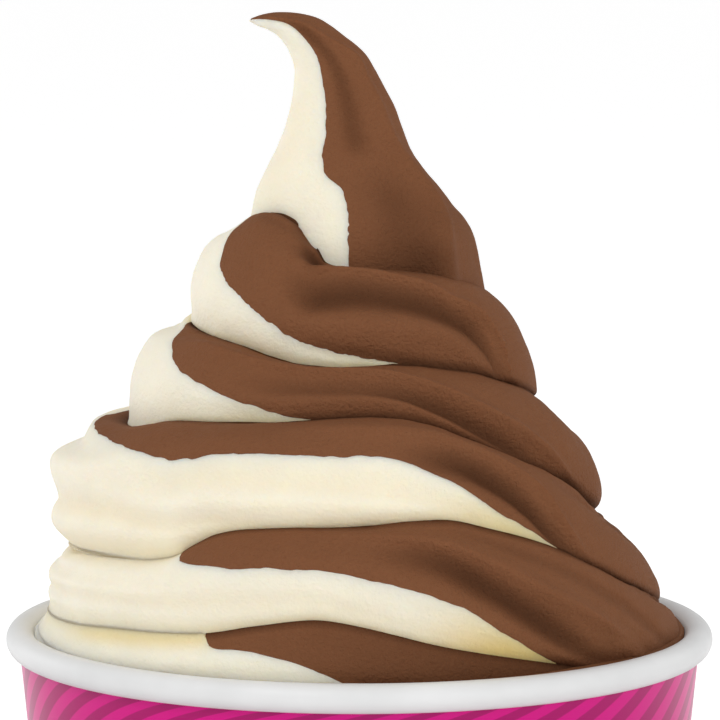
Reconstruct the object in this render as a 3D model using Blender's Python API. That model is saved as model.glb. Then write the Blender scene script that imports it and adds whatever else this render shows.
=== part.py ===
"""Frozen yogurt cup: a tall two-flavour soft-serve twist standing in a paper cup.

Three solids in one frame, metres, +Z up, the cup's foot on z = 0:
  paper_cup          rolled rim, tapered wall, recessed base on a foot ring
  yogurt_chocolate   the half of the twisted rope that shows brown
  yogurt_vanilla     the half of the twisted rope that shows cream

The swirl is one rope laid in turns.  s counts turns along it and rises as the rope goes
down: whole numbers are at -X, .25 at -Y (the shown side), .5 at +X and .75 at +Y.
Across the rope, v runs from 0 at the upper crease of a turn to 1 at its lower crease.
All tables are in millimetres.
"""
import bpy
import bmesh
import numpy as np
from math import pi, cos, sin
from mathutils import Vector

for ob in list(bpy.data.objects):
    bpy.data.objects.remove(ob, do_unlink=True)

MM = 0.001

# ---------------------------------------------------------------- driving sizes (mm)
CUP_H = 70.0            # foot to top of the rolled rim
RIM_R = 49.0            # outer radius over the roll
ROLL_R = 2.0            # radius of the roll
WALL = 0.6              # paper thickness
WALL_R_TOP = 47.0       # outer wall radius just under the roll
WALL_R_FOOT = 40.4      # outer wall radius at the foot
BASE_Z = 5.0            # underside of the recessed base disc
FILL_GAP = 0.3          # clearance between the yogurt and the paper
CUT_GAP = .5          # clearance between the two flavours
CORE_R = 4.0            # radius of the core that the turns are wound on
SPIRE_TOP = 154.4

# crease between one turn and the next above it: s, radius, height
CREASE = [
    (-.14, 19.5, 115), (-.10, 18.4, 118), (-.05, 16.4, 123), (0, 15, 125.6), (.025, 14.2, 126.5),
    (.07, 13.7, 127.1), (.106, 13.5, 127.1), (.138, 13.5, 126.3), (.16, 13.5, 125.1),
    (.18, 13.5, 122.9), (.196, 13.5, 121), (.25, 13.3, 120.2), (.317, 13.6, 119.8),
    (.4, 14.6, 118.9), (.5, 16.6, 117.8), (.625, 18, 116.2), (.75, 19.5, 114.8),
    (.875, 21.3, 113.3), (1, 22.9, 112), (1.063, 23.4, 111.6), (1.129, 23.3, 110.6),
    (1.163, 23.1, 109.4), (1.194, 22.9, 108.5), (1.232, 22.7, 108.2), (1.277, 22.8, 108.5),
    (1.317, 23, 108.1), (1.361, 23.2, 107), (1.401, 23.5, 105.3), (1.44, 23.8, 103.7),
    (1.5, 24.1, 101.6), (1.625, 25.5, 100.2), (1.75, 27.5, 99.2), (1.875, 29.8, 98.2),
    (2, 31.5, 97.4), (2.065, 32, 98.2), (2.091, 31.9, 99.8), (2.108, 31.8, 100.7),
    (2.15, 31.5, 101.3), (2.19, 31.1, 101.7), (2.24, 31, 102.6), (2.266, 31, 102.6),
    (2.292, 31.2, 101.7), (2.319, 31.4, 99.8), (2.338, 31.6, 98.2), (2.373, 31.9, 95.3),
    (2.424, 32.1, 91), (2.452, 32.2, 88.4), (2.5, 32.3, 85.6), (2.625, 34, 84.2),
    (2.75, 36.5, 83), (2.875, 38.8, 82), (3, 40.2, 81.3), (3.06, 40.2, 82.2),
    (3.107, 40.1, 82.9), (3.128, 40, 83.3), (3.146, 40, 84.3), (3.158, 40, 86),
    (3.173, 40, 87.8), (3.195, 40, 88.8), (3.249, 40, 89.5), (3.294, 40.3, 90.2),
    (3.318, 40.5, 88.8), (3.353, 40.7, 86), (3.386, 40.9, 82.2), (3.424, 41.1, 78.2),
    (3.5, 41.3, 72.9), (3.625, 41.5, 72), (3.75, 41.8, 71.2), (3.875, 42, 70.5),
    (4, 42.2, 70.1), (4.077, 43, 72.9), (4.111, 43.2, 74), (4.17, 43.3, 75),
    (4.199, 43.3, 76.5), (4.228, 43.3, 77.6), (4.249, 43.3, 76.9), (4.294, 43.3, 73.7),
    (4.344, 43.3, 70.8), (4.4, 43, 67.5), (4.5, 42.4, 64), (4.75, 42.2, 62),
    (5, 42.2, 60.5), (5.25, 42.2, 61.5), (5.5, 42.2, 57), (5.8, 42, 54)]
# how far a turn bulges beyond the straight line between its creases: s, bulge, lean to the top
BULGE = [
    (-.2, 2.5, 0), (0, 3.6, .2), (.12, 3.5, .1), (.25, 3.8, .1), (.4, 2.8, 0), (.5, 2.0, -.1),
    (.75, 2.8, 0), (.9, 3.3, .2), (1, 3.9, .25), (1.12, 3.4, .1), (1.25, 2.6, 0), (1.4, 2.9, -.1),
    (1.5, 3.2, -.25), (1.75, 3.8, 0), (1.9, 5.4, .2), (2, 6.5, .25), (2.1, 5.8, .2), (2.25, 4.6, .1),
    (2.4, 2.4, 0), (2.5, 1.9, -.1), (2.75, 2.6, 0), (3, 2.2, -.1), (3.12, 2.6, 0), (3.25, 3.4, .05),
    (3.4, 2.9, 0), (3.5, 2.6, -.2), (3.75, 2.2, 0), (4, 1.8, 0), (4.25, 1.6, 0), (4.5, 2.2, 0),
    (5.2, 2, 0)]
# lobes left by the nozzle: height (negative is a groove), width in v, fade in s, line (s, v)
LOBES = [
    # first turn: shelf edge, groove under it, lower lobe, undercut
    (1.0, .075, .03, [(.17, .36), (.231, .27), (.305, .36), (.335, .40), (.356, .47), (.385, .52), (.396, .60), (.407, .72), (.411, .94)]),
    (-1.25, .10, .03, [(.13, .56), (.189, .51), (.24, .46), (.293, .48), (.335, .53), (.367, .62), (.385, .74), (.392, .9)]),
    (.75, .10, .03, [(.168, .66), (.233, .66), (.288, .68), (.328, .71), (.352, .79), (.369, .93)]),
    # second turn
    (.9, .08, .03, [(1.1, .26), (1.168, .33), (1.227, .42), (1.255, .45), (1.286, .51), (1.322, .59), (1.358, .67), (1.39, .78), (1.419, .95)]),
    (-1.15, .10, .03, [(1.18, .58), (1.244, .61), (1.278, .66), (1.312, .73), (1.348, .83), (1.384, .98)]),
    (.6, .09, .03, [(1.15, .74), (1.21, .80), (1.236, .8), (1.278, .82), (1.305, .88)]),
    # third turn: brown ridge and groove, then the cream lobes to the left
    (.9, .09, .03, [(2.22, .25), (2.274, .31), (2.31, .35), (2.331, .37), (2.341, .43), (2.356, .54), (2.367, .74), (2.384, .97)]),
    (-1.3, .11, .03, [(2.29, .5), (2.312, .51), (2.329, .57), (2.344, .68), (2.358, .84), (2.375, .99)]),
    (-1.3, .055, .06, [(1.93, .64), (2.0, .64), (2.06, .65), (2.105, .68), (2.144, .74), (2.18, .88)]),
    (-.75, .10, .04, [(2.09, .50), (2.152, .53), (2.19, .62), (2.24, .66), (2.275, .72), (2.31, .92)]),
    (.55, .09, .04, [(2.12, .62), (2.19, .80), (2.24, .82), (2.28, .9)]),
    (1.3, .08, .05, [(1.95, .50), (2.0, .49), (2.08, .47), (2.13, .44)]),
    (-1.0, .06, .05, [(1.93, .29), (2.0, .29), (2.07, .28)]),
    (.35, .06, .06, [(1.93, .82), (2.0, .82), (2.1, .82)]),
    # fourth turn
    (1.0, .07, .03, [(3.24, .13), (3.287, .24), (3.317, .35), (3.344, .46), (3.374, .55), (3.405, .73), (3.43, .95)]),
    (-1.3, .10, .03, [(3.235, .27), (3.26, .31), (3.289, .40), (3.317, .52), (3.344, .66), (3.376, .84)]),
    (.6, .10, .04, [(3.18, .38), (3.245, .46), (3.293, .61), (3.316, .71), (3.338, .85)]),
    (-.5, .06, .03, [(3.30, .17), (3.35, .26), (3.40, .4), (3.44, .62)]),
    (-.6, .10, .06, [(3.02, .56), (3.1, .6), (3.2, .72), (3.28, .84)]),
    (.4, .10, .06, [(2.9, .74), (3.05, .78), (3.17, .86)]),
    # last turn, against the rim
    (.6, .12, .05, [(4.05, .34), (4.116, .34), (4.171, .3), (4.24, .42)]),
    (-.5, .10, .04, [(4.22, .5), (4.3, .6), (4.4, .8)]),
]
# flatter tops and narrower feet of the turns where they show in outline
OUTLINE = [
    (-1.5, .12, .08, [(-.14, .12), (0, .12), (.06, .12)]),
    (-1.2, .14, .10, [(-.14, .84), (0, .84), (.1, .86)]),
    (-1.1, .11, .10, [(.84, .12), (1, .12), (1.08, .12)]),
    (-1.4, .13, .10, [(.84, .88), (1, .87), (1.1, .87)]),
    (-1.5, .10, .10, [(1.84, .1), (2, .1), (2.06, .1)]),
    (-1.0, .16, .12, [(2.84, .85), (3, .82), (3.1, .82)]),
    (-1.4, .10, .10, [(2.84, .04), (3, .06), (3.1, .05)]),
    (-1.8, .11, .10, [(.40, .08), (.5, .1), (.62, .12)]),
    (-2.2, .11, .10, [(1.42, .1), (1.5, .12), (1.62, .12)]),
    (-3.0, .085, .08, [(2.42, .06), (2.5, .1), (2.62, .1)]),
    (-1.2, .10, .05, [(-.06, .24), (.01, .26), (.06, .25)]),
    (-2.2, .08, .05, [(.92, .24), (.98, .24), (1.03, .22)]),
    (-.6, .14, .08, [(.92, .72), (1, .7), (1.08, .74)]),
    (-1.5, .08, .04, [(1.89, .18), (1.95, .18), (1.99, .16)]),
    (-2.2, .06, .08, [(1.92, .94), (2, .93), (2.1, .93)]),
    (-1.3, .10, .08, [(2.9, .2), (3, .22), (3.08, .2)]),
    (-.9, .11, .08, [(2.9, .62), (3, .62), (3.08, .64)]),
    (-.7, .12, .08, [(.45, .24), (.51, .24), (.6, .24)]),
    (-.6, .14, .08, [(.46, .84), (.5, .84), (.6, .84)]),
    (-1.2, .13, .07, [(1.44, .28), (1.5, .32), (1.6, .32)]),
    (-2.3, .09, .035, [(2.43, .27), (2.455, .31), (2.48, .30)]),
    (-1.6, .08, .05, [(3.43, .12), (3.47, .14), (3.52, .14)]),
]
# where brown gives way to cream below it on the shown side, turn by turn: (s, v)
FRONT_EDGE = [
    [(.03, 0), (.055, .25), (.08, .49), (.107, .6), (.142, .68), (.186, .77), (.224, .82), (.276, .92), (.30, 1)],
    [(1.01, 0), (1.027, .03), (1.055, .2), (1.075, .33), (1.1, .5), (1.131, .63), (1.159, .75), (1.183, .84), (1.215, 1)],
    [(1.90, 0), (1.95, .05), (1.99, .12), (2.03, .2), (2.074, .28), (2.108, .36), (2.161, .44), (2.218, .49), (2.267, .52), (2.297, .65), (2.324, .8), (2.358, 1)],
    [(3.150, 0), (3.156, .26), (3.18, .41), (3.209, .47), (3.252, .53), (3.292, .62), (3.317, .74), (3.35, 1)],
    [(4.172, 0), (4.176, .16), (4.19, .23), (4.207, .31), (4.231, .43), (4.26, .6), (4.31, 1)]]
# where cream gives way to brown below it on the far side, added to the turn number
BACK_EDGE = [(.52, 0), (.57, .25), (.62, .45), (.69, .65), (.76, .82), (.83, 1)]
# spire, as the left and right ends of each section across the shown view: x, z, x, z
SPIRE = [
    (-15.5, 110, 16.6, 110), (-15.6, 115, 16.6, 115), (-15.6, 119, 16.7, 119),
    (-15.4, 123.1, 15.9, 123.1), (-15.1, 125.6, 14.6, 125.6), (-14.7, 127.6, 12.9, 127.6),
    (-14.1, 130, 11.1, 130), (-12.8, 132.7, 8.9, 132.7), (-11.4, 135.5, 7.1, 135.5),
    (-10.3, 138.2, 6, 138.2), (-9.5, 141, 4.9, 141), (-9, 143.7, 3.5, 143.8),
    (-8.9, 146.4, 2.1, 146.5), (-9.4, 148.4, .5, 149), (-10.3, 150.1, -2, 151.1),
    (-11.5, 151.4, -5.1, 153.3), (-12.7, 152.1, -8.1, 154.2), (-13.8, 152.5, -11.1, 154.4),
    (-14.6, 152.9, -13.2, 154.1), (-15.1, 153.2, -14.7, 153.6)]
SPIRE_DEPTH = [(0, .9), (6, .88), (12, .95), (19, 1)]
# edge of the brown half round the spire, degrees from -Y towards +X, on the shown and far sides
SPIRE_EDGE = [(0, -7, -4), (2.3, -7, 0), (3, -6.5, 0), (4, -5, 2), (4.7, -2.5, 3), (5.5, -1.5, 4), (6.1, -2.5, 4),
              (6.55, -6, 4), (7, -14, 4), (7.6, -17, 4), (8.5, -17.5, 4), (10.2, -18, 3), (12.2, -19.5, 1),
              (13.2, -16, 0), (14, -12, 0), (15, -7, 0), (16, 0, 0), (19, 0, 0)]


# ---------------------------------------------------------------- curves through the tables
def curve(table):
    t = np.array(table, float)
    x, y = t[:, 0], t[:, 1:]
    m = np.zeros_like(y)
    m[1:-1] = (y[2:] - y[:-2]) / (x[2:] - x[:-2])[:, None]
    m[0] = (y[1] - y[0]) / (x[1] - x[0])
    m[-1] = (y[-1] - y[-2]) / (x[-1] - x[-2])

    def at(q):
        q = np.clip(np.asarray(q, float), x[0], x[-1])
        i = np.clip(np.searchsorted(x, q) - 1, 0, len(x) - 2)
        h = x[i + 1] - x[i]
        u = ((q - x[i]) / h)[..., None]
        h = h[..., None]
        return ((1 + 2 * u) * (1 - u) ** 2 * y[i] + u * (1 - u) ** 2 * h * m[i]
                + u * u * (3 - 2 * u) * y[i + 1] + u * u * (u - 1) * h * m[i + 1])
    return at


def ramp(x, a, b):
    u = np.clip((np.asarray(x, float) - a) / (b - a), 0, 1)
    return u * u * (3 - 2 * u)


crease_at = curve(CREASE)
bulge_at = curve(BULGE)


def bumps(rows, s, v):
    """Ridges and grooves, each a line (s, v) across the rope; nothing narrower than the mesh can show."""
    out = np.zeros(np.broadcast(s, v).shape)
    for depth, width, fade, line in rows:
        x = np.array([p[0] for p in line])
        y = np.array([p[1] for p in line])
        on = ramp(s, x[0] - fade, x[0] + fade) * (1 - ramp(s, x[-1] - fade, x[-1] + fade))
        out += depth * on * np.exp(-((v - np.interp(s, x, y)) / max(width, .10)) ** 2)
    return out


def lobes(s, v):
    """Height of the nozzle's lobes over the plain bulge, mm."""
    out = bumps(LOBES, s, v) + bumps(OUTLINE, s, v)
    # plain spiral lobes round the far side
    f = (s - .25) % 1.0
    back = ramp(f, .27, .38) * (1 - ramp(f, .62, .76))
    out += .38 * back * np.cos(2 * pi * 6 * (s + .25 - .5 * v)) * np.sin(pi * v)
    return out


def rope(s, v):
    """Surface point of the rope at (s, v) as x, y, z in mm."""
    s, v = np.broadcast_arrays(np.asarray(s, float), np.asarray(v, float))
    a, c = crease_at(s), crease_at(s + 1)
    d = c - a
    length = np.linalg.norm(d, axis=-1, keepdims=True)
    t = d / np.maximum(length, 1e-6)
    n = np.stack([-t[..., 1], t[..., 0]], -1)
    b = bulge_at(s)
    fit = np.minimum(1, length[..., 0] / 9)
    out = (b[..., 0] * np.sin(pi * np.clip(v, 0, 1)) ** .9 * (1 + b[..., 1] * np.cos(pi * v))
           + lobes(s, v) * np.sin(pi * np.clip(v, 0, 1)) ** .5) * fit
    q = a + d * ((1 - np.cos(pi * v)) / 2)[..., None] + n * out[..., None]
    r, z = q[..., 0], q[..., 1]
    r = np.where(z < 74, np.minimum(r, 44.7 + .35 * ramp(z, 69.5, 74)), r)
    th = pi + 2 * pi * s
    return np.stack([r * np.cos(th), r * np.sin(th), z], -1)


# ---------------------------------------------------------------- meshes
def mesh_object(name, verts, faces):
    me = bpy.data.meshes.new(name)
    me.from_pydata([tuple(c * MM for c in p) for p in verts], [], faces)
    bm = bmesh.new()
    bm.from_mesh(me)
    bmesh.ops.remove_doubles(bm, verts=bm.verts, dist=1e-6)
    bmesh.ops.triangulate(bm, faces=bm.faces)
    bmesh.ops.recalc_face_normals(bm, faces=bm.faces)
    bm.to_mesh(me)
    bm.free()
    ob = bpy.data.objects.new(name, me)
    bpy.context.scene.collection.objects.link(ob)
    return ob


def loft(name, rings):
    """Closed solid through rings of equal length, capped at both ends."""
    n = len(rings[0])
    verts = [p for r in rings for p in r]
    faces = []
    for i in range(len(rings) - 1):
        for j in range(n):
            k = (j + 1) % n
            faces.append((i * n + j, i * n + k, (i + 1) * n + k))
            faces.append((i * n + j, (i + 1) * n + k, (i + 1) * n + j))
    for i in (0, len(rings) - 1):
        c = len(verts)
        verts.append(tuple(np.mean(np.array(rings[i]), axis=0)))
        for j in range(n):
            faces.append((i * n + j, i * n + (j + 1) % n, c))
    return mesh_object(name, verts, faces)


def inner_r(s):
    return CORE_R - .8 + 4.5 * (1 - ramp(s, .2, .5))


def rope_piece(name, ss, top, bottom, nv, grow=0.0, lap_top=.35, lap_bottom=.35):
    """Part of the rope between the lines top(s) and bottom(s) in v, down to the core."""
    rings = []
    for s in ss:
        vt, vb = float(top(s)), float(bottom(s))
        vb = max(vb, vt + .004)
        v = np.linspace(vt, vb, nv + 1)
        p = rope(np.full(nv + 1, s), v)
        th = pi + 2 * pi * s
        er = np.array([cos(th), sin(th), 0.0])
        ez = np.array([0.0, 0.0, 1.0])
        r = p @ er
        z = p[:, 2].copy()
        if grow:
            tr, tz = np.gradient(r), np.gradient(z)
            tl = np.maximum(np.hypot(tr, tz), 1e-6)
            r = r + grow * np.maximum(-tz / tl, .8)
            z = z + grow * (tr / tl)
        up = (lap_top if vt <= .001 else 0) + grow
        dn = (lap_bottom if vb >= .999 else 0) + grow
        a, c = crease_at(s), crease_at(s + 1)
        ri = float(inner_r(s)) - grow
        zt = a[1] + (c[1] - a[1]) * vt + up
        zb = a[1] + (c[1] - a[1]) * vb - dn
        # lap or clearance points beside the two lines
        r0, z0, r1, z1 = p[0] @ er, p[0, 2], p[-1] @ er, p[-1, 2]
        if vt <= .001 and grow:
            r[0], z[0] = r0 + 1.3 * grow, z0 + .8 * up
        if vb >= .999 and grow:
            r[-1], z[-1] = r1 + 1.3 * grow, z1 - .8 * dn
        r = np.concatenate([[r0 + (grow * .8 if grow else -.02 * (up == 0))], r,
                            [r1 + (grow * .8 if grow else -.02 * (dn == 0))]])
        z = np.concatenate([[z0 + (up if up else .002)], z, [z1 - (dn if dn else .002)]])
        ring = [er * ri + ez * zt] + [er * rr + ez * zz for rr, zz in zip(r, z)] + [er * ri + ez * zb]
        rings.append([tuple(q) for q in ring])
    return loft(name, rings)


def line(points):
    x = np.array([p[0] for p in points])
    y = np.array([p[1] for p in points])
    return lambda s: float(np.interp(s, x, y, left=0.0, right=1.0))


def spire_rings(side, n_arc, k_steps, grow=0.0, whole=False):
    st = curve([(i,) + row for i, row in enumerate(SPIRE)])
    dp = curve(SPIRE_DEPTH)
    ed = curve(SPIRE_EDGE)
    rings = []
    for k in k_steps:
        xl, zl, xr, zr = st(k)
        d = float(dp(k)[0])
        f, b = np.radians(ed(k))
        c = np.array([(xl + xr) / 2, 1.2 - 1.8 * k / 19, (zl + zr) / 2])
        e = np.array([(xr - xl) / 2, 0, (zr - zl) / 2])
        a = np.linalg.norm(e)
        a0, a1 = (-pi / 2 + f, pi / 2 - b) if side > 0 else (pi / 2 - b, 3 * pi / 2 + f)
        if whole:
            psi = np.linspace(0, 2 * pi, 2 * n_arc, endpoint=False)
        else:
            psi = np.linspace(a0, a1, n_arc + 1)
        lob = 1 + .045 * (np.cos(6 * (psi + pi / 2 - np.radians(50)))
                          - cos(6 * (pi / 2 - np.radians(50))) * np.cos(psi) ** 8)
        g = 1 + grow / max(a, .3)
        p = c + np.outer(np.cos(psi) * lob * g, e) + np.outer(np.sin(psi) * a * d * lob * g, [0, 1, 0])
        rows = [tuple(q) for q in p]
        if not whole:
            mid = c - (e / a) * grow * side
            rows.append(tuple(mid))
        rings.append(rows)
    return rings


def half_turned(name, profile, side, n, shift=0.0):
    """Half of a turned solid on the +X (side 1) or -X (side -1) of the plane x = shift."""
    rings = []
    a = np.linspace(-pi / 2, pi / 2, n + 1)
    for r, z in profile:
        row = [(max(r * cos(t), 0.0) * side, r * sin(t), z) for t in a]
        rings.append([(x + shift * side, y, zz) for x, y, zz in row])
    return loft(name, rings)


def combine(target, others, op, solver='MANIFOLD'):
    for o in others:
        mod = target.modifiers.new('b', 'BOOLEAN')
        mod.object = o
        mod.operation = op
        mod.solver = solver
        bpy.context.view_layer.objects.active = target
        bpy.ops.object.modifier_apply(modifier=mod.name)
    for o in others:
        bpy.data.objects.remove(o, do_unlink=True)


def tidy(ob):
    """Drop loose scraps so that one closed body is left."""
    bm = bmesh.new()
    bm.from_mesh(ob.data)
    bm.faces.ensure_lookup_table()
    seen, groups = set(), []
    for f in bm.faces:
        if f.index in seen:
            continue
        stack, group = [f], []
        seen.add(f.index)
        while stack:
            g = stack.pop()
            group.append(g)
            for e in g.edges:
                if len(e.link_faces) != 2:
                    continue
                for h in e.link_faces:
                    if h.index not in seen:
                        seen.add(h.index)
                        stack.append(h)
        groups.append(group)
    groups.sort(key=len, reverse=True)
    for group in groups[1:]:
        bmesh.ops.delete(bm, geom=group, context='FACES')
    loose = [v for v in bm.verts if not v.link_faces]
    bmesh.ops.delete(bm, geom=loose, context='VERTS')
    bmesh.ops.triangulate(bm, faces=bm.faces)
    bm.to_mesh(ob.data)
    bm.free()


def material(name, rgb, rough):
    m = bpy.data.materials.new(name)
    m.use_nodes = True
    b = m.node_tree.nodes['Principled BSDF']
    b.inputs['Base Color'].default_value = (*rgb, 1)
    b.inputs['Roughness'].default_value = rough
    return m


# ---------------------------------------------------------------- the cup
def wall_r(z):
    """Outer wall radius at height z."""
    return WALL_R_FOOT + (WALL_R_TOP - WALL_R_FOOT) * z / (CUP_H - 2 * ROLL_R)


def cup():
    roll_c = RIM_R - ROLL_R
    roll_z = CUP_H - ROLL_R
    prof = [(0.0, BASE_Z), (wall_r(BASE_Z) - 2 * WALL, BASE_Z), (wall_r(0) - 2 * WALL, 0.0), (wall_r(0), 0.0)]
    # outer wall up to the roll, then round the roll to the inner wall
    a0 = -pi / 2 + .25
    prof.append((roll_c + ROLL_R * cos(a0) * .4, roll_z + ROLL_R * sin(a0)))
    for i in range(1, 9):
        a = a0 + i * (1.5 * pi - .55) / 8
        prof.append((roll_c + ROLL_R * cos(a), roll_z + ROLL_R * sin(a)))
    prof.append((wall_r(CUP_H - 8) - WALL, CUP_H - 8))
    prof.append((wall_r(BASE_Z + WALL) - 2 * WALL, BASE_Z + WALL))
    prof.append((0.0, BASE_Z + WALL))
    n = 44
    verts, faces, rows = [], [], []
    for r, z in prof:
        if r == 0:
            rows.append([len(verts)] * n)
            verts.append((0, 0, z))
        else:
            rows.append(list(range(len(verts), len(verts) + n)))
            verts += [(r * cos(2 * pi * j / n), r * sin(2 * pi * j / n), z) for j in range(n)]
    for a, b in zip(rows[:-1], rows[1:]):
        for j in range(n):
            k = (j + 1) % n
            f = [a[j], a[k], b[k], b[j]]
            f = [x for i, x in enumerate(f) if x not in f[:i]]
            if len(f) > 2:
                faces.append(tuple(f))
    return mesh_object('paper_cup', verts, faces)


# ---------------------------------------------------------------- the yogurt
N_TURN = 24             # sections in one turn
NV = 6                  # steps across the rope


def steps(s0, s1, extra=0.0):
    n = max(3, int(round((s1 - s0) * N_TURN)))
    ss = np.linspace(s0, s1, n + 1)
    return np.concatenate([[s0 - extra], ss, [s1 + extra]]) if extra else ss


def fill_profile(grow=0.0):
    z0 = BASE_Z + WALL + FILL_GAP
    inner = lambda z: wall_r(z) - 2 * WALL - FILL_GAP + .25 * ramp(z, 8, 30)
    return [(0.05, z0 - grow), (inner(z0) + grow, z0 - grow), (inner(20) + grow, 20), (inner(42) + grow, 42),
            (min(inner(57), 44.7) + grow, 57), (44.7 + grow, 68.0 + grow), (CORE_R + 1.5 + grow, 68.2 + grow),
            (CORE_R + 1.5 + grow, 112), (CORE_R + .5 + grow, 116 + grow), (0.05, 116.2 + grow)]


def brown(name, grow=0.0):
    parts = []
    for k, edge in enumerate(FRONT_EDGE):
        s0 = edge[0][0] + .002
        s1 = k + BACK_EDGE[-1][0] - .004 if k < 4 else 4.62
        top = line([(k + a, b) for a, b in BACK_EDGE]) if k < 4 else (lambda s: 0.0)
        parts.append(rope_piece('c%d' % k, steps(s0, s1, grow * .007), top, line(edge), NV, grow))
    parts.append(loft('cs', spire_rings(1, 9, np.linspace(0, 18.7, 20), grow)))
    parts.append(half_turned('cf', fill_profile(grow), 1, 20, shift=-grow))
    body = parts[0]
    combine(body, parts[1:], 'UNION')
    body.name = name
    body.data.name = name
    return body


def cream(name):
    parts = []
    for k, edge in enumerate(FRONT_EDGE):
        s0 = -.135 if k == 0 else k - 1 + BACK_EDGE[0][0] + .004
        s1 = edge[-1][0] - .004
        back = line([(k - 1 + a, b) for a, b in BACK_EDGE])
        bottom = (lambda s: 1.0) if k == 0 else back
        front = line(edge)
        top = lambda s, f=front: min(f(s) + .01, 1.0)
        # the cream part begins just below the colour edge, so the cut alone makes that edge
        parts.append(rope_piece('v%d' % k, steps(s0, s1), top, lambda s, b=bottom: min(b(s) + .03, 1.0), NV,
                                lap_top=.52, lap_bottom=.47))
    parts.append(rope_piece('v5', steps(4.5, 4.78), lambda s: 0.0, lambda s: 1.0, 4, lap_top=.52, lap_bottom=.47))
    parts.append(loft('vs', spire_rings(-1, 9, np.linspace(0, 18.7, 20))))
    parts.append(half_turned('vf', fill_profile(), -1, 20))
    body = parts[0]
    combine(body, parts[1:], 'UNION')
    combine(body, [brown('cut', CUT_GAP)], 'DIFFERENCE')
    body.name = name
    body.data.name = name
    return body


cup_ob = cup()
choc = brown('yogurt_chocolate')
van = cream('yogurt_vanilla')
for ob in (choc, van):
    tidy(ob)

looks = {'paper_cup': ((.80, .80, .80), .5), 'yogurt_chocolate': ((.20, .075, .035), .6),
         'yogurt_vanilla': ((.88, .82, .68), .6)}
for ob in (cup_ob, choc, van):
    rgb, rough = looks[ob.name]
    ob.data.materials.clear()
    ob.data.materials.append(material('mat_' + ob.name, rgb, rough))
    for p in ob.data.polygons:
        p.use_smooth = True
    ob.data.set_sharp_from_angle(angle=.7)
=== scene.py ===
"""Frozen yogurt cup: looks.  A two-flavour soft-serve twist in a printed paper cup.

The yogurt is one rope laid in turns.  s counts turns and rises as the rope goes down
(whole numbers at -X, .25 at -Y, .5 at +X, .75 at +Y); v runs across the rope from its
upper crease (0) to its lower crease (1).  Tables are in millimetres.
"""
import bpy
import numpy as np
from math import pi, cos, sin, radians
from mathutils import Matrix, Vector


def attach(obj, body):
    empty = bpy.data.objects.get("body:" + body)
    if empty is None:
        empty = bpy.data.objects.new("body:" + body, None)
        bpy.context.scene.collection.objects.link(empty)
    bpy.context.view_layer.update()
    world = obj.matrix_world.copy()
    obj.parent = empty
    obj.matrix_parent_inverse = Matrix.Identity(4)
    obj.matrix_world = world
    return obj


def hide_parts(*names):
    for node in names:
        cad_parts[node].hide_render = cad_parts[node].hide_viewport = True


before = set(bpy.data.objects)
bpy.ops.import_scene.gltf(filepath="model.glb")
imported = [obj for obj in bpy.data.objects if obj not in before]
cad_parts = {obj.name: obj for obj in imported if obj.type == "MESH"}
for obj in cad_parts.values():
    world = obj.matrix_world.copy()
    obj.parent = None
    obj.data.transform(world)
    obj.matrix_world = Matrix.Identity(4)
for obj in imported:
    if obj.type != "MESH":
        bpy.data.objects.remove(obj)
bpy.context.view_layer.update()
MM = 0.001

# ---------------------------------------------------------------- shape tables, as in the CAD
CREASE = [
    (-.14, 19.5, 115), (-.10, 18.4, 118), (-.05, 16.4, 123), (0, 15, 125.6), (.025, 14.2, 126.5),
    (.07, 13.7, 127.1), (.106, 13.5, 127.1), (.138, 13.5, 126.3), (.16, 13.5, 125.1),
    (.18, 13.5, 122.9), (.196, 13.5, 121), (.25, 13.3, 120.2), (.317, 13.6, 119.8),
    (.4, 14.6, 118.9), (.5, 16.6, 117.8), (.625, 18, 116.2), (.75, 19.5, 114.8),
    (.875, 21.3, 113.3), (1, 22.9, 112), (1.063, 23.4, 111.6), (1.129, 23.3, 110.6),
    (1.163, 23.1, 109.4), (1.194, 22.9, 108.5), (1.232, 22.7, 108.2), (1.277, 22.8, 108.5),
    (1.317, 23, 108.1), (1.361, 23.2, 107), (1.401, 23.5, 105.3), (1.44, 23.8, 103.7),
    (1.5, 24.1, 101.6), (1.625, 25.5, 100.2), (1.75, 27.5, 99.2), (1.875, 29.8, 98.2),
    (2, 31.7, 97.9), (2.065, 32.1, 98.5), (2.091, 31.9, 99.8), (2.108, 31.8, 100.7),
    (2.15, 31.5, 101.3), (2.19, 31.1, 101.7), (2.24, 31, 102.6), (2.266, 31, 102.6),
    (2.292, 31.2, 101.7), (2.319, 31.4, 99.8), (2.338, 31.6, 98.2), (2.373, 31.9, 95.3),
    (2.424, 32.1, 91), (2.452, 32.2, 88.4), (2.5, 32.3, 85.6), (2.625, 34, 84.2),
    (2.75, 36.5, 83), (2.875, 38.8, 82), (3, 40.2, 81.3), (3.06, 40.2, 82.2),
    (3.107, 40.1, 82.9), (3.128, 40, 83.3), (3.146, 40, 84.3), (3.158, 40, 86),
    (3.173, 40, 87.8), (3.195, 40, 88.8), (3.249, 40, 89.5), (3.294, 40.3, 90.2),
    (3.318, 40.5, 88.8), (3.353, 40.7, 86), (3.386, 40.9, 82.2), (3.424, 41.1, 78.2),
    (3.5, 41.3, 72.9), (3.625, 41.5, 72), (3.75, 41.8, 71.2), (3.875, 42.2, 71.2),
    (4, 43.1, 72.2), (4.077, 43.8, 73.2), (4.111, 43.8, 74), (4.17, 43.3, 75),
    (4.199, 43.3, 76.5), (4.228, 43.3, 77.6), (4.249, 43.3, 76.9), (4.294, 43.3, 73.7),
    (4.344, 43.3, 70.8), (4.4, 43, 67.5), (4.5, 42.4, 64), (4.75, 42.2, 62),
    (5, 42.2, 60.5), (5.25, 42.2, 61.5), (5.5, 42.2, 57), (5.8, 42, 54)]
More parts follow.
